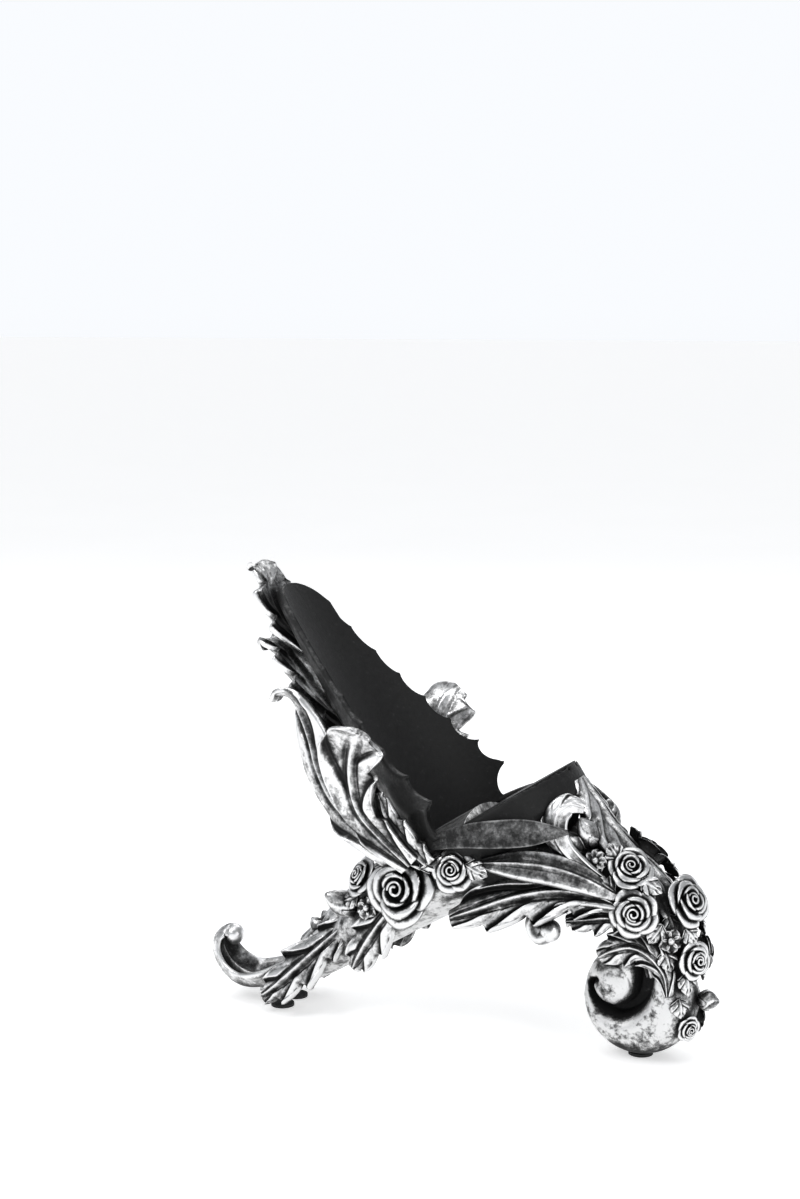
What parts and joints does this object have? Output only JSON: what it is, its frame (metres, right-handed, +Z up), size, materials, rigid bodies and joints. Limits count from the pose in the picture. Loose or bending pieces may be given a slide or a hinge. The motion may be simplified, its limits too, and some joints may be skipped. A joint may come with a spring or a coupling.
{
  "type": "tabletop wine rack",
  "caption": "Single-bottle tabletop wine rack: a leaning cradle and seat on an arched base, with a volute foot, a leaf foot, acanthus leaves and roses in antique silver.",
  "frame": {"origin": "centre of the bounding box at its bottom, on the table", "axes": "+X towards the front, where the volute foot stands; the bottle leans to -X; +Y is the left side; +Z is up. The rack is symmetric about Y = 0."},
  "size_m": [0.2274, 0.11, 0.1919],
  "materials": {
    "antique_silver": "worn antique silver paint, bright on the high points and black in the hollows",
    "stippled_silver": "stippled dark silver",
    "black_resin": "satin black",
    "felt": "felt"
  },
  "bodies": {
    "root": {"seat_disc": "black_resin", "hub": "black_resin", "cradle_shell": "black_resin", "crown_leaf": "antique_silver", "back_leaf": "antique_silver", "tail_leaf": "antique_silver", "rear_leaf_right": "antique_silver", "rear_leaf_left": "antique_silver", "side_leaf_right": "antique_silver", "side_leaf_left": "antique_silver", "side_lobe_right": "antique_silver", "side_lobe_left": "antique_silver", "collar_right": "stippled_silver", "collar_left": "stippled_silver", "front_leg": "antique_silver", "front_volute": "antique_silver", "spine_leaf": "antique_silver", "lip_leaf_right": "antique_silver", "lip_leaf_left": "antique_silver", "reed_right": "antique_silver", "reed_left": "antique_silver", "arch_leaf_right": "antique_silver", "arch_leaf_left": "antique_silver", "arch_curl_right": "antique_silver", "arch_curl_left": "antique_silver", "knee_leaf_right": "antique_silver", "knee_leaf_left": "antique_silver", "knee_lobe_right": "antique_silver", "knee_lobe_left": "antique_silver", "rear_leg": "antique_silver", "toe_leaf": "antique_silver", "foot_leaf_right": "antique_silver", "foot_leaf_left": "antique_silver", "skirt_leaf_right": "antique_silver", "skirt_leaf_left": "antique_silver", "large_rose_right": "antique_silver", "large_rose_left": "antique_silver", "medium_rose_right": "antique_silver", "medium_rose_left": "antique_silver", "outer_rose_right": "antique_silver", "outer_rose_left": "antique_silver", "top_rose_right": "antique_silver", "top_rose_left": "antique_silver", "knee_rose_right": "antique_silver", "knee_rose_left": "antique_silver", "front_rose_upper": "antique_silver", "front_rose_lower_right": "antique_silver", "front_rose_lower_left": "antique_silver", "blossoms": "antique_silver", "buds_right": "antique_silver", "buds_left": "antique_silver", "front_buds": "antique_silver", "rose_leaves_right": "antique_silver", "rose_leaves_left": "antique_silver", "foot_pads": "felt"}
  },
  "joints": []
}
